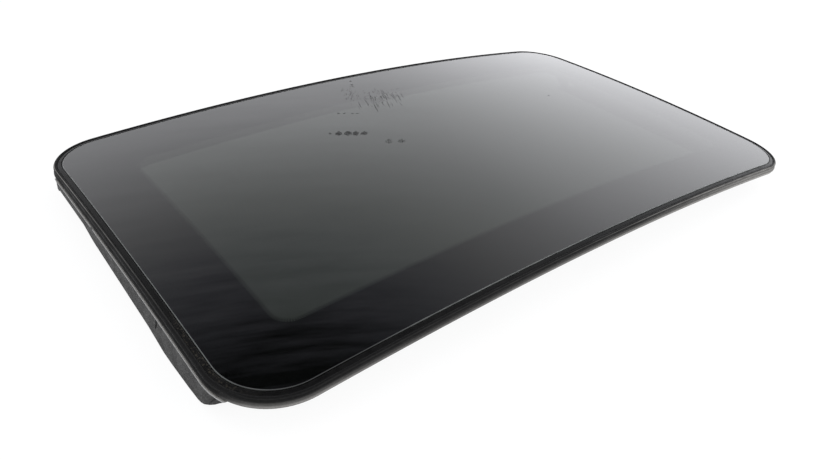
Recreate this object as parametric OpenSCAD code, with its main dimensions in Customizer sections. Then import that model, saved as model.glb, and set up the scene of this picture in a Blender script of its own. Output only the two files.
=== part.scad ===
// Sunroof glass panel for a passenger car: a domed pane with a printed border, a moulded edge,
// a perimeter seal, a pressed steel frame bonded underneath, and a rail and a skirt on each side.
// X runs along the long side, +Y points to the front edge, and Z = 0 is the lowest point of the
// skirts. Depths are measured straight down from the pane's domed upper surface, and reaches are
// measured outwards from the edge of the pane.

/* [Glass] */
// Length of the pane, left to right
glass_length = 863; // [783:2:943]
// Width of the pane, front to rear
glass_width = 488; // [444:2:544]
// Thickness of the pane
glass_t = 4; // [3.2:0.1:5]
// Radius of the dome that the pane is bent to
crown_r = 4290; // [3600:10:9000]
// Corner radius of the pane at its two rear corners
rear_corner_r = 60; // [46:1:80]
// Corner radius of the pane at its two front corners
front_corner_r = 50; // [42:1:80]
// Height of the pane's crown above the lowest point of the skirts
crown_height = 71.2; // [66:0.2:90]

/* [Printed border] */
// Width of the border along each side, from the edge of the pane to the clear window
side_border = 66.5; // [66:0.5:72]
// Width of the border along the rear edge
rear_border = 64; // [62:0.5:72]
// Width of the border along the front edge
front_border = 79; // [70:0.5:84]
// Corner radius of the clear window
window_corner_r = 22; // [12:1:40]
// Thickness of the printed layer, with its primer
print_t = 0.2; // [0.1:0.05:0.3]
// Bare margin between the print and the edge of the pane
print_margin = 1.5; // [0.5:0.1:4]

/* [Moulded edge] */
// Reach of the moulding beyond the edge of the pane
moulding_out = 5.4; // [4.5:0.1:6.2]
// Reach of the moulding inwards, under the pane
moulding_in = 18; // [15:0.5:19]
// Depth of the moulding's underside
moulding_bottom = 10.9; // [10:0.1:13]
// Step down from the pane to the top of the moulding
moulding_step = 0.3; // [0.1:0.05:1]
// Width of the fine groove between the edge of the pane and the top of the moulding
groove_w = 0.9; // [0.5:0.1:1.5]

/* [Perimeter seal] */
// Radius of the bead on top of the seal
bead_r = 2.3; // [1.9:0.1:2.6]
// Height of the bead's crest above the pane
bead_rise = 0.3; // [-0.5:0.1:0.8]
// Radius of the lip below the bead
lip_r = 2.5; // [1.8:0.1:2.8]
// Reach of the lip beyond the edge of the pane
lip_out = 10.3; // [9.8:0.1:13]
// Gap between the seal and the moulding that it is bonded to
seal_gap = 0.15; // [0.1:0.05:0.3]

/* [Steel frame] */
// Thickness of the frame's sheet
sheet_t = 1.2; // [0.8:0.1:1.6]
// Height of the glue line between the print and the frame
bond_t = 2.8; // [2.2:0.1:4]
// Width of the glue line
bond_w = 9; // [6:0.5:10]
// Width of the channel pressed into the frame round the window
channel_w = 19; // [14:0.5:19.5]
// Depth of the channel, from the frame's upper face
channel_drop = 8; // [5:0.5:12]
// How far the frame's outer edge reaches into the moulding
frame_grip = 10; // [6:0.5:12]
// Gap between the channel's inner wall and the print above it
upstand_gap = 0.5; // [0.3:0.1:1.5]

/* [Rails] */
// Thickness of the rails' sheet
rail_t = 2; // [1.5:0.1:3]
// Length of each rail
rail_length = 340; // [300:5:370]
// Width of each rail's flange
rail_flange = 22; // [18:0.5:24]
// Depth of the rails' lower edge, from the crown
rail_drop = 56; // [50:0.5:60]
// Width of the folded lip along each rail's lower edge
rail_lip = 9; // [5:0.5:14]
// How far the ends of a rail's web slope back towards its lower edge
rail_slope = 30; // [10:1:40]
// Distance between the two mounting slots of a rail
slot_pitch = 240; // [180:5:280]
// Width of a mounting slot, for an M6 screw
slot_w = 6.6; // [5.4:0.1:8.6]
// Length of a mounting slot, end to end
slot_length = 14; // [10:0.5:20]
// Depth of the slots' centre line, from the crown
slot_drop = 44; // [42:0.5:46]
// Number of rivets in each rail
rivet_count = 5; // [4:1:6]
// Distance from each end of a rail to its first rivet
rivet_end = 33; // [15:0.5:40]
// Radius of a rivet's shank
rivet_r = 2.4; // [2:0.1:2.8]

/* [Skirts] */
// Thickness of the skirts' wall
skirt_t = 2.5; // [1.8:0.1:3.2]
// Reach of the skirts' outer face beyond the edge of the pane
skirt_out = 9.9; // [9:0.1:11]
// How far the ledge along the top of a skirt stands out from its face
ledge_out = 0.9; // [0.3:0.1:1.4]
// Height of that ledge
ledge_h = 1.3; // [0.8:0.1:2.5]
// Thickness of the skirts' top flange
flange_t = 2.2; // [1.6:0.1:3]
// Radius of a skirt screw
screw_r = 2; // [1.5:0.1:2.2]
// Width of the tab that each skirt screw holds
tab_w = 20; // [14:0.5:28]
// Number of ribs behind each skirt's wall
rib_count = 8; // [4:1:12]
// Size of those ribs, along the wall and along the flange
rib_size = 8.5; // [6:0.5:9]
// Distance from the front edge of the pane to the front end of the skirts
skirt_setback = 44; // [38:1:58]
// Where the face of a skirt jogs, ahead of its deepest part
crease_y = -94; // [-110:1:-80]
// Middle of the gap in a skirt's ledge
ledge_gap_y = 73; // [50:1:100]

/* [Hidden] */

// Levels below the domed surface
print_top = glass_t;
print_bottom = print_top + print_t;
plate_top = print_bottom + bond_t;
plate_bottom = plate_top + sheet_t;
channel_bottom = plate_top + channel_drop;
rail_bottom = plate_bottom + rail_t;
rail_foot = crown_height - rail_drop;
skin_gap = 0.15;
lip_lift = 0.5;
flange_top = max(moulding_bottom, rail_bottom) + skin_gap;
flange_bottom = flange_top + flange_t;

// Plan positions
half_length = glass_length / 2;
half_width = glass_width / 2;
window_x = half_length - side_border;
window_y = [rear_border - half_width, half_width - front_border];
frame_edge = moulding_in - frame_grip;
bond_side_gap = 2;
bond_in = moulding_in + bond_side_gap;
rail_side_gap = 2;
rail_inner_x = window_x + channel_w + rail_side_gap;
fixing_offset = 6;
fixing_x = rail_inner_x + rail_t + fixing_offset;
rivet_pitch = (rail_length - 2 * rivet_end) / (rivet_count - 1);
screw_count = rivet_count - 1;
hole_gap = 0.15;
skirt_front = half_width - skirt_setback;

// How finely round forms are drawn
crown_steps = 720;
turn_steps = 144;
round_steps = 48;
corner_steps = 12;
side_step = 54;

// Room that cutting bodies reach past what they cut
over = 1;
reach = norm([half_length, half_width]) + over;

// Height of the domed surface over a point of the plan
function surface_z(x, y) =
    crown_height - crown_r + sqrt(crown_r * crown_r - x * x - y * y);

// Points of an arc, drawn clockwise from angle a0 to angle a1
function arc(centre, r, a0, a1, steps) =
    [for (i = [0:steps])
        let (a = a0 + (a1 - a0) * i / steps)
        centre + r * [cos(a), sin(a)]];

// The edge of the pane as a closed list of [point, outward direction], counter-clockwise
corners = [
    [half_length, -half_width, rear_corner_r, -90],
    [half_length, half_width, front_corner_r, 0],
    [-half_length, half_width, front_corner_r, 90],
    [-half_length, -half_width, rear_corner_r, 180]
];

function corner_centre(c) =
    [c[0] - sign(c[0]) * c[2], c[1] - sign(c[1]) * c[2]];

function corner_ring(c) =
    [for (i = [0:corner_steps])
        let (a = c[3] + 90 * i / corner_steps, d = [cos(a), sin(a)])
        [corner_centre(c) + c[2] * d, d]];

function side_ring(from, to) =
    let (n = round(norm(to[0] - from[0]) / side_step))
    [for (i = [1:n - 1])
        [from[0] + (to[0] - from[0]) * i / n, from[1]]];

rings = [for (c = corners) corner_ring(c)];
edge_path = [for (i = [0:3])
    each concat(rings[i], side_ring(rings[i][corner_steps], rings[(i + 1) % 4][0]))];

// A section of [reach, height over the domed surface], carried once round the pane's edge
module carry_round(section) {
    n = len(section);
    count = len(edge_path);
    points = [for (e = edge_path, s = section)
        let (p = e[0] + s[0] * e[1])
        [p[0], p[1], surface_z(p[0], p[1]) + s[1]]];
    faces = [for (i = [0:count - 1], j = [0:n - 1])
        let (a = i * n, b = (i + 1) % count * n, k = (j + 1) % n)
        each [[a + j, b + j, b + k], [a + j, b + k, a + k]]];
    polyhedron(points = points, faces = faces, convexity = 8);
}

// Plan outline of the pane, grown by out
module pane_outline(out) {
    for (c = corners)
        translate(corner_centre(c))
            circle(r = c[2] + out, $fn = turn_steps);
    translate([-half_length - out, -half_width + rear_corner_r])
        square([2 * (half_length + out), glass_width - rear_corner_r - front_corner_r]);
    translate([-half_length + rear_corner_r, -half_width - out])
        square([glass_length - 2 * rear_corner_r, half_width + out]);
    translate([-half_length + front_corner_r, 0])
        square([glass_length - 2 * front_corner_r, half_width + out]);
}

// Plan outline of the clear window, grown by out
module window_outline(out) {
    inset = window_corner_r;
    for (x = [inset - window_x, window_x - inset], y = [window_y[0] + inset, window_y[1] - inset])
        translate([x, y])
            circle(r = inset + out, $fn = turn_steps);
    translate([inset - window_x, window_y[0] - out])
        square([2 * (window_x - inset), window_y[1] - window_y[0] + 2 * out]);
    translate([-window_x - out, window_y[0] + inset])
        square([2 * (window_x + out), window_y[1] - window_y[0] - 2 * inset]);
}

// Stands a plan outline up through the whole height of the panel
module through() {
    translate([0, 0, -over])
        linear_extrude(crown_height + 2 * over)
            children();
}

// What lies between two depths below the domed surface
module layer(top, bottom) {
    translate([0, 0, crown_height - crown_r])
        rotate_extrude($fn = turn_steps)
            difference() {
                dome_section(top, 0);
                dome_section(bottom, over);
            }
}

// Half section of the dome under one depth, down to the floor, with some room round it
module dome_section(top, room) {
    intersection() {
        translate([0, -top])
            circle(r = crown_r, $fn = crown_steps);
        translate([-room, crown_r - crown_height - room])
            square([reach + 2 * room, crown_height + 2 * room]);
    }
}

// What lies below one depth, down to the floor
module below(top) {
    translate([0, 0, crown_height - crown_r])
        rotate_extrude($fn = turn_steps)
            intersection() {
                dome_section(top, over);
                translate([0, crown_r - crown_height - over])
                    square([reach, crown_height + over]);
            }
}

// Sets a fastener square to the dome at a depth below a point of the plan
module on_dome(x, y, depth) {
    translate([x, y, surface_z(x, y) - depth])
        rotate(a = asin(norm([x, y]) / crown_r), v = [-y, x, 0])
            children();
}

module glass_pane() {
    color([0.16, 0.19, 0.18, 0.75])
        intersection() {
            layer(0, glass_t);
            through() pane_outline(0);
        }
}

module printed_border() {
    color([0.02, 0.02, 0.025])
        difference() {
            intersection() {
                layer(print_top, print_bottom);
                through() pane_outline(-print_margin);
            }
            through() window_outline(0);
        }
}

// Moulding that wraps the edge of the pane and grips the edge of the frame
module edge_moulding() {
    fit = 0.2;
    crest = 0.9;
    groove_bottom = -moulding_step - groove_w;
    top_fall = 0.06;
    shoulder = -moulding_step - moulding_out * top_fall;
    chamfer = 0.5;
    slit = 0.1;
    color([0.05, 0.05, 0.055])
        carry_round([
            [fit, groove_bottom],
            [fit + groove_w / 2, groove_bottom],
            [fit + groove_w, -moulding_step - groove_w / 4],
            [fit + 1.5 * groove_w, -moulding_step],
            [moulding_out - crest, shoulder],
            [moulding_out - crest / 4, shoulder - crest / 4],
            [moulding_out, shoulder - crest],
            [moulding_out, -moulding_bottom + chamfer],
            [moulding_out - chamfer, -moulding_bottom],
            [chamfer - moulding_in, -moulding_bottom],
            [-moulding_in, -moulding_bottom + chamfer],
            [-moulding_in, -plate_bottom - slit],
            [fit - frame_edge, -plate_bottom - slit],
            [fit - frame_edge, -plate_top + slit],
            [-moulding_in, -plate_top + slit],
            [-moulding_in, -print_bottom - slit],
            [fit, -print_bottom - slit]
        ]);
}

// Rubber profile with a rounded bead on top and a fuller lip below it
module perimeter_seal() {
    bead_turn = [144, -40];
    lip_turn = [58, -62];
    inner = moulding_out + seal_gap;
    bead = [inner - bead_r * cos(bead_turn[0]), bead_rise - bead_r];
    lip = [lip_out - lip_r, lip_r + lip_lift - moulding_bottom];
    color([0.07, 0.07, 0.075])
        carry_round(concat(
            arc(bead, bead_r, bead_turn[0], bead_turn[1], 8),
            arc(lip, lip_r, lip_turn[0], lip_turn[1], 6),
            [[lip_out - lip_r / 2, -moulding_bottom], [inner, -moulding_bottom]]
        ));
}

// Glue line between the print and the frame, just inside the moulding
module bond_bead() {
    color([0.03, 0.03, 0.03])
        intersection() {
            layer(print_bottom, plate_top);
            through() difference() {
                pane_outline(-bond_in);
                pane_outline(-bond_in - bond_w);
            }
        }
}

// Small pads that set the height of the glue line while it cures, just inside it
module bond_spacers() {
    pad = 6;
    pad_gap = 1;
    spread = [-0.72, -0.24, 0.24, 0.72];
    row_y = half_width - bond_in - bond_w - pad_gap - pad / 2;
    color([0.12, 0.12, 0.12])
        intersection() {
            layer(print_bottom, plate_top);
            through()
                for (s = spread, side = [-1, 1])
                    translate([s * window_x, side * row_y])
                        square([3 * pad, pad], center = true);
        }
}

// Pressed frame: a flat that takes the glue, and a channel round the window
module frame_ring() {
    outer_wall = channel_w;
    color([0.62, 0.63, 0.63])
        difference() {
            intersection() {
                layer(print_bottom + upstand_gap, channel_bottom);
                through() difference() {
                    pane_outline(-frame_edge);
                    window_outline(0);
                }
            }
            // Above the flat
            intersection() {
                layer(0, plate_top);
                through() difference() {
                    pane_outline(over - frame_edge);
                    window_outline(outer_wall - sheet_t);
                }
            }
            // Below the flat
            intersection() {
                below(plate_bottom);
                through() difference() {
                    pane_outline(over - frame_edge);
                    window_outline(outer_wall);
                }
            }
            // Inside the channel
            intersection() {
                layer(0, channel_bottom - sheet_t);
                through() difference() {
                    window_outline(outer_wall - sheet_t);
                    window_outline(sheet_t);
                }
            }
            fixing_holes(2 * sheet_t);
        }
}

// Puts its first child at every rivet and its second at every skirt screw, midway between rivets
module rail_fixings() {
    for (side = [-1, 1]) {
        for (i = [0:rivet_count - 1])
            on_dome(side * fixing_x, (i - (rivet_count - 1) / 2) * rivet_pitch, plate_bottom)
                children(0);
        for (i = [0:screw_count - 1])
            on_dome(side * fixing_x, screw_y(i), plate_bottom)
                children(1);
    }
}

function screw_y(i) = (i - (screw_count - 1) / 2) * rivet_pitch;

// Cutters for all those holes, reaching this far to either side of the flat's underside
module fixing_holes(depth) {
    rail_fixings() {
        cylinder(r = rivet_r + hole_gap, h = 2 * depth, center = true, $fn = round_steps);
        cylinder(r = screw_r + hole_gap, h = 2 * depth, center = true, $fn = round_steps);
    }
}

// Pressed rail of a side: a riveted flange, an upright web with two slots, and a folded lip
module rail() {
    difference() {
        union() {
            intersection() {
                layer(plate_bottom, rail_bottom);
                translate([rail_inner_x, -rail_length / 2, 0])
                    cube([rail_flange, rail_length, crown_height]);
            }
            intersection() {
                below(plate_bottom);
                rail_side();
                rail_fold();
            }
        }
        for (s = [-1, 1])
            translate([rail_inner_x, s * slot_pitch / 2, crown_height - slot_drop])
                rotate([0, 90, 0])
                    slot();
        fixing_holes(2 * rail_t);
    }
}

// Profile of the web, its bend and its lip, carried along the rail
module rail_fold() {
    bend_r = 2 * rail_t;
    bend = [rail_inner_x + rail_t - bend_r, rail_foot + bend_r];
    translate([0, rail_length / 2, 0])
        rotate([90, 0, 0])
            linear_extrude(rail_length) {
                translate([rail_inner_x, bend[1]])
                    square([rail_t, rail_drop]);
                translate([bend[0] - rail_lip, rail_foot])
                    square([rail_lip, rail_t]);
                difference() {
                    intersection() {
                        translate(bend) circle(r = bend_r, $fn = turn_steps);
                        translate([bend[0], rail_foot]) square(bend_r);
                    }
                    translate(bend) circle(r = bend_r - rail_t, $fn = turn_steps);
                }
            }
}

// Side view of the web and lip, whose ends slope back
module rail_side() {
    end = rail_length / 2;
    slope_top = rail_foot + rail_drop / 2;
    translate([rail_inner_x - rail_lip - 2 * rail_t, 0, 0])
        rotate([90, 0, 90])
            linear_extrude(rail_lip + 4 * rail_t)
                polygon([
                    [-end, crown_height],
                    [-end, slope_top],
                    [rail_slope - end, rail_foot],
                    [end - rail_slope, rail_foot],
                    [end, slope_top],
                    [end, crown_height]
                ]);
}

// Cutter for one mounting slot, along Y
module slot() {
    run = (slot_length - slot_w) / 2;
    translate([0, 0, -over]) {
        for (s = [-1, 1])
            translate([0, s * run, 0])
                cylinder(d = slot_w, h = rail_t + 2 * over, $fn = round_steps);
        translate([-slot_w / 2, -run, 0])
            cube([slot_w, 2 * run, rail_t + 2 * over]);
    }
}

module left_rail() {
    color([0.1, 0.1, 0.1]) mirror([1, 0, 0]) rail();
}

module right_rail() {
    color([0.1, 0.1, 0.1]) rail();
}

// Rivets that hold the rails to the frame, with a head on either side
module rail_rivets() {
    head_r = 2 * rivet_r;
    head_h = 1.4;
    color([0.55, 0.55, 0.56])
        rail_fixings() {
            rotate_extrude($fn = round_steps)
                polygon([
                    [0, -rail_t - head_h],
                    [head_r / 2, -rail_t - head_h],
                    [head_r, -rail_t],
                    [rivet_r, -rail_t],
                    [rivet_r, sheet_t],
                    [head_r, sheet_t],
                    [head_r / 2, sheet_t + head_h],
                    [0, sheet_t + head_h]
                ]);
            union() {}
        }
}

// Height of the skirts' top edge where the rear corners start, from which the caps are measured
rear_z = surface_z(half_length, rear_corner_r - half_width) - flange_top;

// Seam between a skirt and its cap, lower and upper end, and the end of the cap: [y, z]
seam = [[50 - half_width, rear_z - 20], [36 - half_width, rear_z + 1]];
cap_tail = 23 - half_width;

// Lower edge of a skirt seen from the side, as heights over the floor: [y, z]
skirt_edge = [
    [skirt_front, 19],
    [skirt_front - 6, 19],
    [skirt_front - 7, 21.8],
    [107, 21.7],
    [79, 15.9],
    [crease_y + 26, 5.8],
    [crease_y - 8, 0],
    [crease_y - 27, 0],
    [86 - half_width, 2.2],
    [69 - half_width, 4.2],
    [63 - half_width, 6],
    [57 - half_width, 9.2],
    seam[0]
];

// Lower edge of the cap, from the seam to its end
cap_edge = [
    seam[0],
    [41 - half_width, rear_z - 12.6],
    [35 - half_width, rear_z - 6.8],
    [28 - half_width, rear_z - 0.8],
    [cap_tail, rear_z + 3.4]
];

// Wall of a skirt or cap in plan, from reach inner to reach outer
module skirt_wall(inner, outer) {
    difference() {
        pane_outline(outer);
        pane_outline(inner);
    }
}

// Height of the middle of the skirts' flange, along the wall
function mid_flange_z(y) = surface_z(half_length, y) - (flange_top + flange_bottom) / 2;

// Carries a side outline in [y, z] through the left half of the panel
module left_side() {
    translate([-half_length - lip_out - over, 0, 0])
        rotate([90, 0, 90])
            linear_extrude(half_length)
                children();
}

// Upright wall with its ledge, from reach inner outwards, cut to a side outline
module left_wall(inner) {
    difference() {
        intersection() {
            below(flange_top);
            through() skirt_wall(inner, skirt_out + ledge_out);
            left_side() children();
        }
        intersection() {
            below(flange_top + ledge_h);
            through() skirt_wall(skirt_out, skirt_out + ledge_out + over);
        }
    }
}

module left_skirt_solid() {
    crease = 0.8;
    gap_w = 5;
    inboard = 4;
    tab_end = rail_inner_x + rail_t + over;
    pad_start = half_length - moulding_in - over;
    difference() {
        union() {
            left_wall(skirt_out - skirt_t)
                polygon(concat(skirt_edge, [
                    seam[1],
                    [cap_tail, crown_height],
                    [skirt_front, crown_height]
                ]));
            // Top flange, with a tab to each screw and a pad that seats the tab on the rail
            intersection() {
                layer(flange_top, flange_bottom);
                union() {
                    translate([-half_length - skirt_out + skirt_t - over, -half_width + rear_corner_r, 0])
                        cube([skirt_out - skirt_t + over + inboard,
                              skirt_front + half_width - rear_corner_r, crown_height]);
                    for (i = [0:screw_count - 1])
                        translate([-half_length - over, screw_y(i) - tab_w / 2, 0])
                            cube([half_length + over - tab_end, tab_w, crown_height]);
                }
            }
            intersection() {
                layer(rail_bottom + skin_gap, flange_bottom);
                for (i = [0:screw_count - 1])
                    translate([-pad_start, screw_y(i) - tab_w / 2 + over, 0])
                        cube([pad_start - tab_end, tab_w - 2 * over, crown_height]);
            }
            skirt_ribs();
        }
        // Gap in the ledge, and the crease in the face
        translate([-half_length - skirt_out - ledge_out - over, ledge_gap_y - gap_w / 2, 0])
            cube([ledge_out + over, gap_w, crown_height]);
        translate([-half_length - skirt_out - over, 0, 0])
            rotate([90, 0, 90])
                linear_extrude(crease + over)
                    polygon([[crease_y - 6, 35], [crease_y + 7, 16.5], [crease_y + 2, 33.5]]);
        fixing_holes(flange_bottom);
    }
}

// Gussets between the wall and the flange
module skirt_ribs() {
    rib_t = 1.6;
    first = -half_width + rear_corner_r + rib_size;
    pitch = (skirt_front - rib_size - first) / (rib_count - 1);
    wall_x = -half_length - skirt_out + skirt_t;
    for (i = [0:rib_count - 1]) {
        y = first + i * pitch;
        top = surface_z(wall_x, y) - flange_bottom;
        translate([wall_x, y + rib_t / 2, top])
            rotate([90, 0, 0])
                linear_extrude(rib_t)
                    polygon([
                        [-over, over / 2],
                        [rib_size, over / 2],
                        [rib_size, 0],
                        [0, -rib_size],
                        [-over, -rib_size]
                    ]);
    }
}

// Short piece that carries the skirt round the rear corner, with a tongue behind the skirt
module left_cap_solid() {
    seam_gap = 0.3;
    tongue = 9;
    tongue_t = 1.8;
    tongue_gap = 0.15;
    hidden = skirt_out - skirt_t - tongue_gap;
    tongue_front = seam[0][0] + tongue;
    tongue_back = seam[1][0] - tongue / 2;
    foot = 22;
    foot_front = -half_width + rear_corner_r - 2 * seam_gap;
    union() {
        left_wall(hidden - tongue_t)
            polygon(concat(
                [for (p = cap_edge) p - [seam_gap, 0]],
                [[cap_tail - seam_gap, crown_height],
                 [seam[1][0] - seam_gap, crown_height],
                 [seam[1][0] - seam_gap, seam[1][1]]]
            ));
        intersection() {
            through() skirt_wall(hidden - tongue_t, hidden);
            left_side()
                polygon([
                    [tongue_front, seam[0][1] + 3],
                    [seam[0][0] - 8, seam[0][1] + 8],
                    [tongue_back, mid_flange_z(tongue_back) - flange_t / 2],
                    [tongue_back, mid_flange_z(tongue_back)],
                    [tongue_front, mid_flange_z(tongue_front)]
                ]);
        }
        // Foot that lies under the moulding
        intersection() {
            layer(flange_top, flange_bottom);
            through() skirt_wall(hidden - foot, hidden - tongue_t / 2);
            left_side()
                polygon([
                    [cap_tail + over, 0],
                    [foot_front, 0],
                    [foot_front, crown_height],
                    [cap_tail + over, crown_height]
                ]);
        }
    }
}

module left_skirt() {
    color([0.27, 0.27, 0.27]) left_skirt_solid();
}

module right_skirt() {
    color([0.27, 0.27, 0.27]) mirror([1, 0, 0]) left_skirt_solid();
}

module left_skirt_cap() {
    color([0.25, 0.25, 0.25]) left_cap_solid();
}

module right_skirt_cap() {
    color([0.25, 0.25, 0.25]) mirror([1, 0, 0]) left_cap_solid();
}

// Screws that hold the skirts up against the rails, with a hexagon socket in the head
module skirt_screws() {
    head_r = 2 * screw_r;
    head_h = 2.2;
    seat = flange_bottom - plate_bottom;
    tip = bond_t / 2;
    color([0.4, 0.4, 0.41])
        rail_fixings() {
            union() {}
            difference() {
                union() {
                    translate([0, 0, -seat - head_h])
                        cylinder(r = head_r, h = head_h, $fn = round_steps);
                    translate([0, 0, -seat])
                        cylinder(r = screw_r, h = seat + sheet_t + tip, $fn = round_steps);
                }
                translate([0, 0, -seat - head_h - over])
                    cylinder(r = screw_r, h = head_h / 2 + over, $fn = 6);
            }
        }
}

glass_pane();
printed_border();
edge_moulding();
perimeter_seal();
bond_bead();
bond_spacers();
frame_ring();
left_rail();
right_rail();
rail_rivets();
left_skirt();
right_skirt();
left_skirt_cap();
right_skirt_cap();
skirt_screws();
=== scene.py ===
"""Looks for the sunroof glass panel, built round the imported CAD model."""

import math

import bmesh
import bpy
import numpy as np
from mathutils import Matrix, Vector


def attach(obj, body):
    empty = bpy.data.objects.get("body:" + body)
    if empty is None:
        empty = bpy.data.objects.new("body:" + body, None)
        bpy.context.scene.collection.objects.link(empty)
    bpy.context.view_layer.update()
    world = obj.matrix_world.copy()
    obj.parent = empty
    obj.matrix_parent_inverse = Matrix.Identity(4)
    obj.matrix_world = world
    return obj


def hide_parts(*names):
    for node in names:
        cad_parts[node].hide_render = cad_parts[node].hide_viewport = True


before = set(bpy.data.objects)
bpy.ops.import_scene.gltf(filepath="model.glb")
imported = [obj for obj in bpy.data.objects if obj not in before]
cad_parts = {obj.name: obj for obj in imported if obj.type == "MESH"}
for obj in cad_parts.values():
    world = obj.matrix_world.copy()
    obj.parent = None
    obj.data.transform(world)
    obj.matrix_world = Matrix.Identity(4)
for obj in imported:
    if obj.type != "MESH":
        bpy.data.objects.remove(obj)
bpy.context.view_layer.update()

# Sizes in millimetres, as in part.scad
HALF_L, HALF_W = 431.5, 244.0
CROWN_R, CROWN_H = 4290.0, 71.2
REAR_R, FRONT_R = 60.0, 50.0
GLASS_T = 4.0
WINDOW_X, WINDOW_REAR, WINDOW_FRONT, WINDOW_R = 365.0, -180.0, 165.0, 22.0
PRINT_MARGIN, PRINT_BOTTOM = 1.5, 4.2
SEAL_INNER, SEAL_BOTTOM = 5.55, 10.9
SKIRT_OUT, LEDGE_GAP_Y = 9.9, 73.0

# The print's top lies a little inside the glass, so that no light shows between them
PRINT_TOP = 3.9

# Metres in a millimetre
MM = 0.001


# Shapes

def dome_z(x, y):
    """Height of the glass's upper surface over a point of the plan."""
    return CROWN_H - CROWN_R + np.sqrt(CROWN_R ** 2 - x * x - y * y)


def dome_normal(x, y):
    """Unit normals of the dome at points of the plan."""
    n = np.stack([x, y, np.sqrt(CROWN_R ** 2 - x * x - y * y)], axis=-1)
    return n / CROWN_R


def rounded_path(corners, step, corner_steps):
    """Points and outward directions round an outline.

    corners are [centre x, centre y, radius, start angle in degrees]."""
    points, outs = [], []
    for i, (cx, cy, r, start) in enumerate(corners):
        for k in range(corner_steps + 1):
            a = math.radians(start + 90.0 * k / corner_steps)
            d = (math.cos(a), math.sin(a))
            points.append((cx + r * d[0], cy + r * d[1]))
            outs.append(d)
        nx, ny, nr, nstart = corners[(i + 1) % len(corners)]
        a = math.radians(nstart)
        end = (nx + nr * math.cos(a), ny + nr * math.sin(a))
        last, out = points[-1], outs[-1]
        n = max(1, round(math.dist(last, end) / step))
        for k in range(1, n):
            t = k / n
            points.append((last[0] + (end[0] - last[0]) * t, last[1] + (end[1] - last[1]) * t))
            outs.append(out)
    return np.array(points), np.array(outs)


def pane_path(step=8.0, corner_steps=24):
    return rounded_path([
        (HALF_L - REAR_R, -HALF_W + REAR_R, REAR_R, -90),
        (HALF_L - FRONT_R, HALF_W - FRONT_R, FRONT_R, 0),
        (-HALF_L + FRONT_R, HALF_W - FRONT_R, FRONT_R, 90),
        (-HALF_L + REAR_R, -HALF_W + REAR_R, REAR_R, 180),
    ], step, corner_steps)


def window_path(step, corner_steps):
    x, r = WINDOW_X - WINDOW_R, WINDOW_R
    return rounded_path([
        (x, WINDOW_REAR + r, r, -90),
        (x, WINDOW_FRONT - r, r, 0),
        (-x, WINDOW_FRONT - r, r, 90),
        (-x, WINDOW_REAR + r, r, 180),
    ], step, corner_steps)


def fillet(section, radii, steps=4):
    """A closed 2D section with some corners rounded: radii gives a radius to a corner's number."""
    most = 0.49
    out = []
    n = len(section)
    for i, p in enumerate(section):
        r = radii.get(i, 0)
        if not r:
            out.append(p)
            continue
        p = np.array(p, float)
        a = np.array(section[i - 1], float) - p
        b = np.array(section[(i + 1) % n], float) - p
        la, lb = np.linalg.norm(a), np.linalg.norm(b)
        a, b = a / la, b / lb
        half = math.acos(max(-1, min(1, float(a @ b)))) / 2
        cut = min(r / math.tan(half), most * la, most * lb)
        r = cut * math.tan(half)
        centre = p + (a + b) / np.linalg.norm(a + b) * (r / math.sin(half))
        start, end = p + a * cut - centre, p + b * cut - centre
        for k in range(steps + 1):
            t = k / steps
            d = start * (1 - t) + end * t
            d = d / np.linalg.norm(d) * r
            out.append(tuple(centre + d))
    return out


def new_piece(name, verts, faces, replaces=(), smooth_angle=40.0):
    """A mesh piece in metres that rides on the panel, and may stand for CAD nodes."""
    mesh = bpy.data.meshes.new(name)
    mesh.from_pydata([tuple(v) for v in verts], [], [tuple(f) for f in faces])
    mesh.validate()
    bm = bmesh.new()
    bm.from_mesh(mesh)
    bmesh.ops.recalc_face_normals(bm, faces=bm.faces)
    bm.to_mesh(mesh)
    bm.free()
    mesh.shade_smooth()
    mesh.set_sharp_from_angle(angle=math.radians(smooth_angle))
    piece = bpy.data.objects.new(name, mesh)
    bpy.context.scene.collection.objects.link(piece)
    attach(piece, "root")
    if replaces:
        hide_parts(*replaces)
    return piece


def paint(piece, name, shares):
    """Gives a piece's vertices a share from 0 to 1 that its material reads."""
    layer = piece.data.attributes.new(name, "FLOAT", "POINT")
    layer.data.foreach_set("value", np.asarray(shares, dtype=np.float32).ravel())


def ring_faces(rows, n, closed=True):
    """Quads between rows of n points, closed round each row.

    When closed, the last row joins the first too."""
    faces = []
    for i in range(rows if closed else rows - 1):
        a, b = i * n, (i + 1) % rows * n
        for j in range(n):
            k = (j + 1) % n
            faces.append((a + j, a + k, b + k, b + j))
    return faces


def carry_round(path, section):
    """Vertices of a section of [reach, height over the dome] carried round a path, a row to a point."""
    points, outs = path
    verts = []
    for reach, height in section:
        p = points + outs * reach
        z = dome_z(p[:, 0], p[:, 1]) + height
        verts.append(np.stack([p[:, 0], p[:, 1], z], axis=-1))
    return np.concatenate(verts) * MM


def turns(first, last, steps):
    """Angles in degrees from the first to the last, in equal steps."""
    return [first + (last - first) * k / steps for k in range(steps + 1)]


def arc(cx, cy, r, first, last, steps):
    """Points of an arc, between two angles in degrees."""
    return [(cx + r * math.cos(math.radians(a)), cy + r * math.sin(math.radians(a)))
            for a in turns(first, last, steps)]


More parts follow.
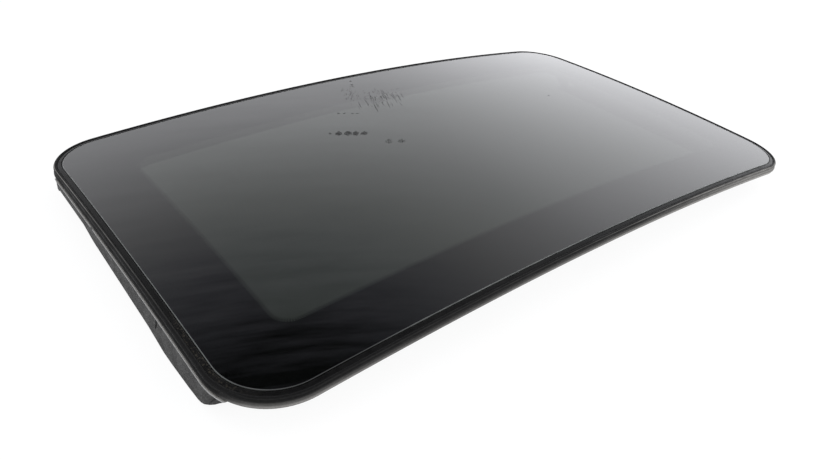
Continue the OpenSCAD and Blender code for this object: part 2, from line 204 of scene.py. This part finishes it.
def make_glass():
    """The pane, with a ground edge, as rings that shrink towards its middle."""
    grind, steps, rings = 0.8, 5, 30
    points, outs = pane_path()
    n = len(points)
    # the ground edge's section: [reach, height over the dome, slope of its normal]
    rim = []
    for k in range(steps + 1):
        a = math.radians(90 - 90 * k / steps)
        rim.append((-grind + grind * math.cos(a), -grind + grind * math.sin(a), a))
    for k in range(steps + 1):
        a = math.radians(-90 * k / steps)
        rim.append((-grind + grind * math.cos(a), grind - GLASS_T + grind * math.sin(a), a))
    verts, normals = [], []

    def add(p, height, slope):
        """A row of points with its normals, which turn from the side to straight up with the slope."""
        z = dome_z(p[:, 0], p[:, 1]) + height
        verts.append(np.stack([p[:, 0], p[:, 1], z], axis=-1))
        up = dome_normal(p[:, 0], p[:, 1])
        side = np.concatenate([outs, np.zeros((n, 1))], axis=1)
        side = side - up * np.sum(side * up, axis=1, keepdims=True)
        side /= np.linalg.norm(side, axis=1, keepdims=True)
        normals.append(up * math.sin(slope) + side * math.cos(slope))

    shares = np.linspace(0, 1, rings + 1)[1:]
    edge = points - outs * grind
    for s in shares[:-1]:
        add(edge * s, 0.0, math.pi / 2)
    for reach, height, slope in rim:
        add(points + outs * reach, height, slope)
    for s in shares[::-1][1:]:
        add(edge * s, -GLASS_T, -math.pi / 2)
    rows = len(verts)
    faces = ring_faces(rows, n, closed=False)
    verts = list(np.concatenate(verts))
    normals = list(np.concatenate(normals))
    top, bottom = len(verts), len(verts) + 1
    verts += [np.array([0, 0, CROWN_H]), np.array([0, 0, CROWN_H - GLASS_T])]
    normals += [np.array([0, 0, 1.0]), np.array([0, 0, -1.0])]
    for j in range(n):
        k = (j + 1) % n
        faces.append((top, k, j))
        faces.append((bottom, (rows - 1) * n + j, (rows - 1) * n + k))
    piece = new_piece("glass", np.array(verts) * MM, faces, ["glass_pane"], 180)
    piece.data.normals_split_custom_set_from_vertices([tuple(v) for v in normals])
    # the quads between the rim's rows take the second material, the ground edge
    for face in piece.data.polygons:
        ground = all(rings - 1 <= v // n < rows - rings + 1 for v in face.vertices)
        face.material_index = int(ground and len(face.vertices) == 4)
    return piece


def make_print():
    """The printed border, which ends in a comb of fine teeth round the window."""
    rings = 7
    outer, outs = pane_path(step=12.0, corner_steps=14)
    outer = outer - outs * PRINT_MARGIN
    n = len(outer)
    # the window's edge seen from the panel's middle, in the same directions as the outer points
    inner = np.array([window_edge_at(p) for p in outer])
    rows = []
    shares = np.linspace(0, 1, rings + 1)
    for depth, order in ((PRINT_TOP, shares), (PRINT_BOTTOM, shares[::-1])):
        for s in order:
            p = inner * (1 - s) + outer * s
            rows.append(np.stack([p[:, 0], p[:, 1], dome_z(p[:, 0], p[:, 1]) - depth], axis=-1))
    verts = list(np.concatenate(rows))
    faces = ring_faces(len(rows), n)
    # teeth, each a small block that starts in the border and ends over the window
    pitch, width, length, root, tip = 2.4, 1.9, 4.6, 0.6, 0.15
    points, dirs = window_path(step=pitch, corner_steps=13)
    for p, d in zip(points, dirs):
        t = np.array([-d[1], d[0]])
        base = len(verts)
        for depth in (PRINT_TOP, PRINT_BOTTOM):
            for along, across in ((root, -1), (root, 1), (-length, tip), (-length, -tip)):
                q = p + d * along + t * across * width / 2
                verts.append(np.array([q[0], q[1], dome_z(q[0], q[1]) - depth]))
        faces += [(base, base + 1, base + 2, base + 3), (base + 7, base + 6, base + 5, base + 4)]
        faces += [(base + k, base + 4 + k, base + 4 + (k + 1) % 4, base + (k + 1) % 4)
                  for k in range(4)]
    return new_piece("print_border", np.array(verts) * MM, faces, ["printed_border"])


def window_edge_at(p):
    """Where the line from the panel's middle to a point crosses the window's rounded outline."""
    lo, hi = 0.0, 1.0
    for _ in range(30):
        mid = (lo + hi) / 2
        if window_distance(p * mid) < 0:
            lo = mid
        else:
            hi = mid
    return p * (lo + hi) / 2


def window_distance(p):
    """Signed distance from the window's outline, negative inside."""
    half = (WINDOW_FRONT - WINDOW_REAR) / 2
    q = np.array([abs(p[0]) - WINDOW_X + WINDOW_R,
                  abs(p[1] - (WINDOW_FRONT + WINDOW_REAR) / 2) - half + WINDOW_R])
    return np.linalg.norm(np.maximum(q, 0)) + min(max(q[0], q[1]), 0) - WINDOW_R


def make_moulding():
    """The moulded edge, with its fine groove and rounded crests."""
    path = pane_path()
    # [reach, height over the dome]: the groove and crest, the wall, the underside, then the slot
    # that the frame's edge sits in
    section = [
        (0.2, -1.2), (0.65, -1.2), (1.1, -0.525), (1.55, -0.3), (4.5, -0.624), (5.4, -0.8),
        (5.4, -10.4), (4.9, -10.9), (-17.5, -10.9), (-18.0, -10.4), (-18.0, -8.3),
        (-7.8, -8.3), (-7.8, -6.9), (-18.0, -6.9), (-18.0, -4.3), (0.2, -4.3),
    ]
    radii = {1: 0.2, 2: 0.3, 3: 0.3, 4: 0.6, 5: 0.6, 7: 0.4}
    section = fillet(section, radii)
    verts = carry_round(path, section)
    return new_piece("moulding", verts, ring_faces(len(section), len(path[0])),
                     ["edge_moulding"])


def make_seal():
    """The rubber profile: a bead on top, a soft valley, and a fuller lip."""
    path = pane_path()
    bead_r, bead_turn, bead_steps = 2.3, (144.0, -40.0), 26
    lip_r, lip_turn, lip_steps = 2.5, (58.0, -62.0), 12
    bead_centre = (SEAL_INNER - bead_r * math.cos(math.radians(bead_turn[0])), -2.0)
    lip_centre = (7.8, -7.9)
    foot = 9.05
    section = arc(*bead_centre, bead_r, *bead_turn, bead_steps)
    section += arc(*lip_centre, lip_r, *lip_turn, lip_steps)
    section += [(foot, -SEAL_BOTTOM), (SEAL_INNER, -SEAL_BOTTOM)]
    verts = carry_round(path, section)
    piece = new_piece("seal", verts, ring_faces(len(section), len(path[0])),
                      ["perimeter_seal"], 50)
    # each section point's angle about the bead and about the lip, and a value below both elsewhere
    off, foot_angle = -90.0, -65.0
    on_bead = np.array(turns(*bead_turn, bead_steps) + [off] * (len(section) - bead_steps - 1))
    on_lip = np.array([off] * (bead_steps + 1) + turns(*lip_turn, lip_steps) + [foot_angle, off])
    x, y = path[0][:, 0], path[0][:, 1]
    on_left = np.clip((-path[1][:, 0] - 0.75) / 0.2, 0, 1)
    elsewhere = 1 - on_left
    # the bead carries a thin worn line with a painted highlight on it, which moves across the bead along the
    # left
    # side: most towards the front on the left side, and elsewhere most towards the right, where the line is
    # wider too
    to_front = np.clip((y + 170.0) / 350.0, 0, 1) ** 1.3
    to_right = np.interp(x, [-400, -100, 40, 180, 400], [0.02, 0.06, 0.2, 0.36, 0.45])
    amount = on_left * (0.01 + 0.62 * to_front) + elsewhere * to_right
    middle = on_left * np.interp(y, [-100, 40, 180], [100, 86, 62]) + elsewhere * 48.0
    width = on_left * 9.0 + elsewhere * np.interp(x, [0, 320], [9, 26])
    line = np.exp(-((on_bead[:, None] - middle[None, :]) / width[None, :]) ** 2)
    paint(piece, "wear_and_highlight", line * amount[None, :])
    # dust and a painted highlight lie on the lower half of the lip, least on the left side and most towards
    # the right, with a patch by the near left corner, and dust fills the valley over the lip on the far right
    low = np.interp(on_lip, [-80.0, -60.0, -35.0, 5.0, 40.0], [0.0, 0.6, 1.0, 0.85, 0.3])
    amount = 0.02 + 0.36 * elsewhere + 0.6 * np.clip((x + 240.0) / 610.0, 0, 1)
    amount += 0.4 * elsewhere * np.exp(-((x + 400.0) / 70.0) ** 2) * (y < 0)
    below_bead = np.where(on_bead > off, np.interp(on_bead, [-40.0, 35.0], [0.55, 0.0]), 0.0)
    above_lip = np.interp(on_lip, [5.0, 58.0], [0.0, 0.55])
    valley = np.maximum(below_bead, above_lip)
    far_right = np.clip((x - 60.0) / 240.0, 0, 1)
    paint(piece, "dust", np.maximum(low[:, None] * amount[None, :], valley[:, None] * far_right[None, :]))
    return piece


def make_marks():
    """Fine slanting scratches and small smudges on the glass, as thin slivers that lie on it."""
    seed, lift = 7, 0.05
    random = np.random.default_rng(seed)
    verts, faces, shares = [], [], []

    def sliver(x, y, angle, length, width, share):
        """A pointed leaf on the glass, its length at an angle in degrees to X in the plan."""
        a = math.radians(angle)
        d, s = np.array([math.cos(a), math.sin(a)]), np.array([-math.sin(a), math.cos(a)])
        base = len(verts)
        leaf = [(-0.5, 0.0), (-0.28, 0.5), (0.1, 0.42), (0.5, 0.0), (0.14, -0.5), (-0.3, -0.38)]
        for along, side in leaf:
            p = np.array([x, y]) + d * along * length + s * side * width
            verts.append((p[0] * MM, p[1] * MM, (float(dome_z(*p)) + lift) * MM))
            shares.append(share)
        faces.append(tuple(range(base, base + len(leaf))))

    def within(corners):
        """A point of the plan between four corners, likeliest in their middle."""
        a, b, c, d = (np.array(p, float) for p in corners)
        s, t = random.uniform(0, 1, (2, 2)).mean(axis=0)
        return (a * (1 - s) + b * s) * (1 - t) + (d * (1 - s) + c * s) * t

    # the scratches that stand out: [x, y, length, share]
    slant = 65.0
    long_scratches = (
        (-32, 140, 60, 1.0), (2, 165, 34, 0.9), (14, 141, 30, 0.9), (-52, 145, 22, 0.6),
        (-15, 129, 32, 0.6), (-20, 164, 22, 0.6), (-40, 122, 22, 0.7), (-3, 150, 26, 0.5))
    for x, y, length, share in long_scratches:
        sliver(x, y, random.normal(slant, 1.5), length, random.uniform(1.1, 1.5), share)
    # the finer scratches and ragged specks round them, and a fainter patch beside them
    cluster = ((-36, 200), (48, 172), (12, 108), (-70, 128))
    beside = ((-30, 228), (-2, 216), (-50, 142), (-72, 160))
    fine_scratches = ((cluster, 34, 67, 26, 0.6), (beside, 16, 54, 12, 0.35))
    for corners, count, angle, longest, strong in fine_scratches:
        for _ in range(count):
            sliver(*within(corners), random.normal(angle, 2), random.uniform(9, longest),
                   random.uniform(0.8, 1.2), strong * random.uniform(0.45, 1.0))
    for corners, count, strong in ((cluster, 130, 0.4), (beside, 40, 0.35)):
        for _ in range(count):
            sliver(*within(corners), random.uniform(-50, 70), random.uniform(1.5, 4.0),
                   random.uniform(1.0, 2.0), strong * random.uniform(0.3, 1.0))
    # small spots, each of three slivers
    spots = ((-9.0, 230.0), (-16.0, 216.5), (-18.0, 211.0), (-92.5, 135.0), (-87.5, 132.0),
             (-77.5, 126.0), (-71.5, 122.5), (237.6, 49.8))
    for x, y in spots:
        for _ in range(3):
            sliver(x + random.normal(0, 0.7), y + random.normal(0, 0.7), random.uniform(-60, 30),
                   random.uniform(2.5, 4.5), random.uniform(1.6, 2.6), random.uniform(0.4, 0.8))
    # two rows of plain smears, one dark and one faint, each from a start to an end: [where the
    # smear starts and ends along the row, as shares of it, and the smear's length across the row]
    dark_row = ((0.0, 0.08, 4.5), (0.16, 0.35, 13.5), (0.38, 0.58, 14.0), (0.60, 0.77, 14.0),
                (0.81, 1.0, 11.0))
    faint_row = ((0.02, 0.36, 13.0), (0.56, 0.95, 13.0))
    smear_angle = 56.0
    for start, end, share, smears in (((-139.0, 91.0), (-95.3, 65.7), 0.85, dark_row),
                                      ((-91.6, 35.3), (-64.4, 22.6), 0.22, faint_row)):
        start, end = np.array(start), np.array(end)
        for low, high, length in smears:
            wide = (high - low) * math.dist(start, end)
            middle = start + (end - start) * (low + high) / 2
            sliver(*middle, smear_angle, length, wide, share)
            for _ in range(3):
                sliver(*(middle + random.normal(0, wide / 6, 2)), random.normal(smear_angle, 8),
                       length * random.uniform(0.5, 0.9), wide * random.uniform(0.4, 0.7), share * 0.5)
    piece = new_piece("dirt_marks", verts, faces)
    paint(piece, "share", shares)
    return piece


# Materials

class Nodes:
    """A short way to build a node tree."""

    def __init__(self, tree):
        self.tree = tree
        tree.nodes.clear()

    def add(self, kind, inputs=None, **settings):
        node = self.tree.nodes.new(kind)
        for key, value in settings.items():
            setattr(node, key, value)
        for key, value in (inputs or {}).items():
            socket = node.inputs[key]
            if isinstance(value, bpy.types.NodeSocket):
                self.tree.links.new(value, socket)
            else:
                socket.default_value = value
        return node

    def math(self, operation, a, b=0.0):
        return self.add("ShaderNodeMath", {0: a, 1: b}, operation=operation).outputs[0]

    def distance(self, coords, point):
        """Distance in metres from a point."""
        return self.add("ShaderNodeVectorMath", {0: coords, 1: point}, operation="DISTANCE").outputs["Value"]

    def dot(self, vector, way):
        """How far a vector reaches along a direction."""
        return self.add("ShaderNodeVectorMath", {0: vector, 1: way}, operation="DOT_PRODUCT").outputs["Value"]

    def mix(self, fac, first, second):
        """A shader that goes from the first to the second."""
        mix = self.add("ShaderNodeMixShader", {0: fac})
        self.tree.links.new(first.outputs[0], mix.inputs[1])
        self.tree.links.new(second.outputs[0], mix.inputs[2])
        return mix

    def split(self, vector):
        return self.add("ShaderNodeSeparateXYZ", {0: vector}).outputs

    def noise(self, vector, scale, detail=3.0, roughness=0.5):
        return self.add("ShaderNodeTexNoise", {"Vector": vector, "Scale": scale, "Detail": detail,
                                               "Roughness": roughness}).outputs["Fac"]

    def ramp(self, value, low, high, to_low=0.0, to_high=1.0):
        return self.add("ShaderNodeMapRange", {"Value": value, "From Min": low, "From Max": high,
                                               "To Min": to_low, "To Max": to_high},
                        interpolation_type="SMOOTHSTEP").outputs[0]

    def blend(self, fac, a, b):
        return self.add("ShaderNodeMix", {0: fac, 6: a, 7: b}, data_type="RGBA").outputs[2]


def grey(v, tint=(1.0, 1.0, 1.0)):
    return (v * tint[0], v * tint[1], v * tint[2], 1.0)


def material(name):
    mat = bpy.data.materials.new(name)
    mat.use_nodes = True
    n = Nodes(mat.node_tree)
    coords = n.add("ShaderNodeTexCoord").outputs["Object"]
    return mat, n, coords


def finish(n, shader):
    out = n.add("ShaderNodeOutputMaterial")
    n.tree.links.new(shader.outputs[0], out.inputs["Surface"])


def share_of(n, name):
    """The share that paint() gave a piece's vertices."""
    return n.add("ShaderNodeAttribute", attribute_name=name).outputs["Fac"]


def coated(name, dark, light, scale, roughness, bump, dust=0.0,
           metallic=0.0, specular=0.5, bump_distance=0.0002, layers=None):
    """A grained surface whose colour wanders between two greys, with dust in patches.

    layers(n, coords, grain) gives further pairs of cover and colour that lie over it."""
    dust_colour = (0.30, 0.28, 0.25, 1.0)
    mat, n, coords = material(name)
    grain = n.noise(coords, scale, 4.0, 0.6)
    patches = n.noise(coords, scale / 12, 3.0)
    colour = n.blend(n.ramp(grain, 0.35, 0.65), grey(dark), grey(light))
    if dust:
        fine = n.noise(coords, scale * 2.2, 2.0)
        cover = n.math("MULTIPLY", n.ramp(fine, 0.5, 0.78), n.ramp(patches, 0.35, 0.7, 0.25, 1.0))
        cover = n.math("MULTIPLY", cover, dust)
        colour = n.blend(cover, colour, dust_colour)
    for cover, over in (layers(n, coords, grain) if layers else ()):
        colour = n.blend(cover, colour, over)
    vary = 0.08
    rough = n.ramp(patches, 0.3, 0.7, roughness - vary, roughness + vary)
    bumps = n.add("ShaderNodeBump", {"Height": grain, "Strength": bump, "Distance": bump_distance})
    shader = n.add("ShaderNodeBsdfPrincipled", {
        "Base Color": colour, "Roughness": rough, "Metallic": metallic,
        "Specular IOR Level": specular, "Normal": bumps.outputs[0]})
    finish(n, shader)
    return mat


def glass_material():
    """Dark tinted glass that lets lamps through."""
    mat, n, _ = material("tinted_glass")
    tint = (0.040, 0.046, 0.041, 1.0)
    through = tuple(math.sqrt(v) for v in tint[:3]) + (1.0,)
    glass = n.add("ShaderNodeBsdfPrincipled", {
        "Base Color": tint, "Roughness": 0.0, "IOR": 1.5, "Transmission Weight": 1.0})
    clear = n.add("ShaderNodeBsdfTransparent", {"Color": through})
    rays = n.add("ShaderNodeLightPath")
    straight = n.math("MAXIMUM", rays.outputs["Is Shadow Ray"], rays.outputs["Is Diffuse Ray"])
    finish(n, n.mix(straight, glass, clear))
    return mat


def ground_edge_material():
    """The pane's ground edge, frosted, with a painted highlight in grey patches that fades to dark by the
    near left corner.
    """
    mat, n, coords = material("ground_edge")
    dark_end = (-0.35, -0.24, 0.03)
    patches = n.ramp(n.noise(coords, 60.0, 4.0), 0.3, 0.6, 0.5, 1.0)
    # painted highlight: the edge is lighter away from the near left corner, in patches
    edge_highlight = n.math("MULTIPLY", n.ramp(n.distance(coords, dark_end), 0.02, 0.12), patches)
    greenish = (0.94, 1.0, 0.96)
    colour = n.blend(edge_highlight, grey(0.004, greenish), grey(0.07, greenish))
    finish(n, n.add("ShaderNodeBsdfPrincipled", {"Base Color": colour, "Roughness": 0.22}))
    return mat


def marks_material():
    """Scuffs and dried smears, dull where the glass shines."""
    mat, n, coords = material("dull_marks")
    broken = n.ramp(n.noise(coords, 420.0, 3.0), 0.35, 0.6, 0.4, 1.0)
    alpha = n.math("MULTIPLY", share_of(n, "share"), broken)
    finish(n, n.add("ShaderNodeBsdfPrincipled", {
        "Base Color": grey(0.05), "Roughness": 0.7, "Specular IOR Level": 0.1, "Alpha": alpha}))
    return mat


def print_material():
    mat, n, coords = material("black_print")
    speck = n.noise(coords, 900.0, 2.0)
    colour = n.blend(n.ramp(speck, 0.3, 0.7), grey(0.004), grey(0.008))
    finish(n, n.add("ShaderNodeBsdfPrincipled", {"Base Color": colour, "Roughness": 0.5}))
    return mat


def moulding_layers(n, coords, grain):
    """Brown flecks of dirt by the near end of the left side."""
    dirty_end = (-0.435, -0.165, 0.04)
    near = n.ramp(n.distance(coords, dirty_end), 0.08, 0.02)
    flecks = n.math("MULTIPLY", n.ramp(n.noise(coords, 600.0, 3.0), 0.5, 0.66), near)
    brown = (0.09, 0.08, 0.06, 1.0)
    return ((n.math("MULTIPLY", flecks, 0.25), brown),)


def seal_layers(n, coords, grain):
    """The bead's thin worn line with its painted highlight, and the dust and painted highlight on the lip."""
    patches = n.noise(coords, 60.0, 3.0)
    # the bead's worn line carries a painted highlight
    wear_and_highlight_cover = n.math("MULTIPLY", share_of(n, "wear_and_highlight"), n.ramp(patches, 0.3, 0.65, 0.6, 1.0))
    # the lip's dust carries a painted highlight, lightest on the near side towards the right
    dust_and_lip_highlight = n.math("MULTIPLY", share_of(n, "dust"), n.ramp(grain, 0.35, 0.65, 0.8, 1.0))
    wear_and_highlight_grey, lighter_grey = (0.34, 0.33, 0.31, 1.0), (0.25, 0.243, 0.23, 1.0)
    return (wear_and_highlight_cover, wear_and_highlight_grey), (dust_and_lip_highlight, lighter_grey)


def skirt_layers(n, coords, grain):
    """Pale specks, the seam by the cap, a painted highlight along the ledge, and a lighter grey on what faces
    up.
    """
    def span(value, low, high):
        """A ramp between two lengths in millimetres."""
        return n.ramp(value, low * MM, high * MM)

    x, y, z = n.split(coords)
    # reach outwards from the middles of the corners' rounds, and depth below the pane's surface
    out_x = n.math("SUBTRACT", n.math("ABSOLUTE", x), (HALF_L - REAR_R) * MM)
    out_x = n.math("MAXIMUM", out_x, 0.0)
    out_y = n.math("SUBTRACT", n.math("MULTIPLY", y, -1.0), (HALF_W - REAR_R) * MM)
    out_y = n.math("MAXIMUM", out_y, 0.0)
    square = n.math("ADD", n.math("MULTIPLY", out_x, out_x), n.math("MULTIPLY", out_y, out_y))
    reach = n.math("SQRT", square)
    fall = n.math("ADD", n.math("MULTIPLY", x, x), n.math("MULTIPLY", y, y))
    level = n.math("SUBTRACT", CROWN_H * MM, n.math("MULTIPLY", fall, 0.5 / (CROWN_R * MM)))
    depth = n.math("SUBTRACT", level, z)
    # a painted highlight on the wall's face above the ledge's lower edge, but for the gap in the ledge, and
    # on the ledge where it stands out from the wall
    wall = REAR_R + SKIRT_OUT
    top_of_wall = n.math("MULTIPLY", span(depth, 13.9, 13.1), span(reach, wall - 0.2, wall - 0.05))
    from_gap = n.math("ABSOLUTE", n.math("SUBTRACT", y, LEDGE_GAP_Y * MM))
    top_of_wall = n.math("MULTIPLY", top_of_wall, span(from_gap, 2.3, 2.7))
    # painted highlight along the ledge, broken by the grain
    ledge_highlight = n.math("MAXIMUM", top_of_wall, span(reach, wall + 0.2, wall + 0.7))
    ledge_highlight = n.math("MULTIPLY", ledge_highlight, n.ramp(grain, 0.3, 0.65, 0.65, 1.0))
    specks = n.ramp(n.noise(coords, 900.0, 2.0), 0.54, 0.68)
    # the seam is a plane: how far a point lies from it along its normal
    seam_normal, seam_offset = (0.0, 0.832, 0.5547), 153.4
    from_seam = n.math("ABSOLUTE", n.math("ADD", n.dot(coords, seam_normal), seam_offset * MM))
    seam = span(from_seam, 1.3, 0.8)
    # what faces up turns a lighter grey
    facing_up = n.ramp(n.split(n.add("ShaderNodeNewGeometry").outputs["Normal"])[2], 0.3, 0.9)
    speck_grey, seam_black = (0.13, 0.128, 0.12, 1.0), (0.004, 0.004, 0.004, 1.0)
    ledge_highlight_grey, lighter_grey = (0.30, 0.30, 0.295, 1.0), (0.26, 0.25, 0.23, 1.0)
    return ((n.math("MULTIPLY", specks, 0.5), speck_grey),
            (n.math("MULTIPLY", seam, 0.9), seam_black),
            (n.math("MULTIPLY", ledge_highlight, 0.95), ledge_highlight_grey),
            (n.math("MULTIPLY", facing_up, 0.6), lighter_grey))


def dress(node, mat):
    """Gives a CAD node's object this material in every slot."""
    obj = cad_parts[node]
    for slot in obj.material_slots:
        slot.material = mat
    if not obj.material_slots:
        obj.data.materials.append(mat)


def make_object():
    glass = make_glass()
    glass.data.materials.append(glass_material())
    glass.data.materials.append(ground_edge_material())
    make_marks().data.materials.append(marks_material())
    make_print().data.materials.append(print_material())
    make_moulding().data.materials.append(coated(
        "moulding_black", 0.002, 0.005, 900.0, 0.32, 0.1, dust=0.02, specular=0.07, layers=moulding_layers))
    make_seal().data.materials.append(coated(
        "seal_rubber", 0.002, 0.005, 700.0, 0.6, 0.15, dust=0.02, specular=0.08, layers=seal_layers))
    plastic = coated("grained_plastic", 0.003, 0.010, 1100.0, 0.6, 0.6, dust=0.12, specular=0.2,
                     bump_distance=0.0004, layers=skirt_layers)
    dark_plastic = coated("dark_grained_plastic", 0.005, 0.013, 1100.0, 0.6, 0.6, dust=0.08, specular=0.2,
                          bump_distance=0.0004, layers=skirt_layers)
    for side in ("left", "right"):
        dress(side + "_skirt", plastic)
        dress(side + "_skirt_cap", dark_plastic)
    dress("frame_ring", coated("zinc_steel", 0.27, 0.37, 260.0, 0.42, 0.1, dust=0.2, metallic=1.0))
    black = coated("black_steel", 0.02, 0.035, 500.0, 0.35, 0.15, dust=0.25)
    dress("left_rail", black)
    dress("right_rail", black)
    dress("rail_rivets", coated("rivet_steel", 0.35, 0.48, 500.0, 0.35, 0.1, dust=0.2, metallic=1.0))
    dress("skirt_screws", coated("screw_steel", 0.25, 0.4, 500.0, 0.4, 0.1, dust=0.2, metallic=1.0))
    dress("bond_bead", coated("glue_black", 0.015, 0.025, 300.0, 0.5, 0.5))
    dress("bond_spacers", coated("spacer_rubber", 0.08, 0.13, 600.0, 0.7, 0.3))


# Studio

def make_world():
    """A white room: bright at the horizon, with a soft dark ceiling and one wide soft light."""
    world = bpy.data.worlds.new("studio")
    bpy.context.scene.world = world
    world.use_nodes = True
    n = Nodes(world.node_tree)
    way = n.add("ShaderNodeTexCoord").outputs["Generated"]

    def aimed(azimuth, elevation):
        """How nearly a ray points this way, in degrees clockwise from +Y and up: 1 is straight at it."""
        a, e = math.radians(azimuth), math.radians(elevation)
        return n.dot(way, (math.sin(a) * math.cos(e), math.cos(a) * math.cos(e), math.sin(e)))

    # the room's light fades towards the ceiling, and one soft light lifts it low on the right
    ceiling = n.ramp(aimed(20.6, 62.2), 0.7386, 1.1419, 1.507, -0.608)
    softbox_edge = math.cos(math.radians(35.9))
    softbox = n.ramp(aimed(68.2, 2.4), softbox_edge, 1.0, 0.0, 0.795)
    light = n.math("MAXIMUM", n.math("ADD", ceiling, softbox), 0.03)
    # fine creases in the cloth overhead, which the pane's left half shows as level streaks
    across = n.dot(way, (0.7748, -0.6253, -0.0935))
    rise = n.dot(way, (0.2861, 0.4787, -0.8301))
    creases = 0.0
    for wide, high, depth in ((5.0, 42.0, 0.5), (16.0, 150.0, 0.2)):
        cloth = n.add("ShaderNodeCombineXYZ", {0: n.math("MULTIPLY", across, wide),
                                               1: n.math("MULTIPLY", rise, high)})
        crease = n.math("SUBTRACT", n.noise(cloth.outputs[0], 1.0, 3.0), 0.5)
        creases = n.math("ADD", creases, n.math("MULTIPLY", crease, depth))
    creases = n.math("MULTIPLY", creases, n.ramp(across, 0.2, -0.15))
    creases = n.math("MULTIPLY", creases, n.ramp(light, 0.1, 0.9, 1.0, 0.4))
    light = n.math("MAXIMUM", n.math("ADD", light, creases), 0.02)
    rays = n.add("ShaderNodeLightPath")
    seen = n.math("MAXIMUM", rays.outputs["Is Camera Ray"], rays.outputs["Is Transmission Ray"])
    bluish, pale = (0.94, 0.955, 1.11, 1.0), (0.982, 0.988, 1.02, 1.0)
    colour = n.blend(n.ramp(light, 0.05, 0.9), bluish, pale)
    room = n.add("ShaderNodeBackground", {"Color": colour, "Strength": light})
    white = n.add("ShaderNodeBackground", {"Color": (1.0, 1.0, 1.0, 1.0), "Strength": 1.0})
    out = n.add("ShaderNodeOutputWorld")
    n.tree.links.new(n.mix(seen, room, white).outputs[0], out.inputs["Surface"])


def make_floor():
    """A wide white floor that keeps the panel's shadow."""
    mesh = bpy.data.meshes.new("floor")
    half = 12.0
    mesh.from_pydata([(-half, -half, 0), (half, -half, 0), (half, half, 0), (-half, half, 0)],
                     [], [(0, 1, 2, 3)])
    floor = bpy.data.objects.new("floor", mesh)
    bpy.context.scene.collection.objects.link(floor)
    mat, n, _ = material("floor_white")
    diffuse = n.add("ShaderNodeBsdfDiffuse", {"Color": grey(0.98)})
    glow = n.add("ShaderNodeEmission", {"Color": (1.0, 1.0, 1.0, 1.0), "Strength": 1.0})
    rays = n.add("ShaderNodeLightPath")
    # how much of each kind of ray finds the floor white rather than lit and shaded
    seen = n.math("MULTIPLY", rays.outputs["Is Camera Ray"], 0.9)
    for kind, share in (("Is Glossy Ray", 0.5), ("Is Transmission Ray", 0.4)):
        seen = n.math("MAXIMUM", seen, n.math("MULTIPLY", rays.outputs[kind], share))
    finish(n, n.mix(seen, diffuse, glow))
    mesh.materials.append(mat)


def make_lamp(name, place, target, size, power):
    """An area light of this size in metres and power in watts, which neither shows nor reflects."""
    data = bpy.data.lights.new(name, "AREA")
    data.shape = "RECTANGLE"
    data.size, data.size_y = size
    data.energy = power
    lamp = bpy.data.objects.new(name, data)
    bpy.context.scene.collection.objects.link(lamp)
    lamp.location = place
    direction = Vector(place) - Vector(target)
    lamp.rotation_euler = direction.to_track_quat("Z", "Y").to_euler()
    lamp.visible_camera = False
    lamp.visible_glossy = False


def make_camera():
    """The photograph's viewpoint, from a fit to the pane's outline."""
    focal_px, photo_width_px, sensor_width_mm = 697.49, 827.0, 36.0
    data = bpy.data.cameras.new("camera")
    data.sensor_fit = "HORIZONTAL"
    data.sensor_width = sensor_width_mm
    data.lens = focal_px * sensor_width_mm / photo_width_px
    data.clip_start, data.clip_end = 0.01, 100.0
    camera = bpy.data.objects.new("camera", data)
    bpy.context.scene.collection.objects.link(camera)
    right = (0.774964, -0.625093, 0.093214)
    up = (0.285834, 0.478200, 0.830436)
    back = (-0.563675, -0.616914, 0.549261)
    place = (-0.592015, -0.584918, 0.464798)
    camera.matrix_world = Matrix([*zip(right, up, back, place), (0, 0, 0, 1)])
    bpy.context.scene.camera = camera


make_object()
make_world()
make_floor()
make_lamp("top_light", (0.2, 0.0, 2.6), (0.0, 0.0, 0.0), (2.4, 2.0), 10.0)
make_lamp("near_light", (1.5, -2.0, 0.8), (0.2, -0.2, 0.0), (1.2, 1.0), 34.0)
make_camera()
bpy.context.scene.view_settings.view_transform = "Standard"
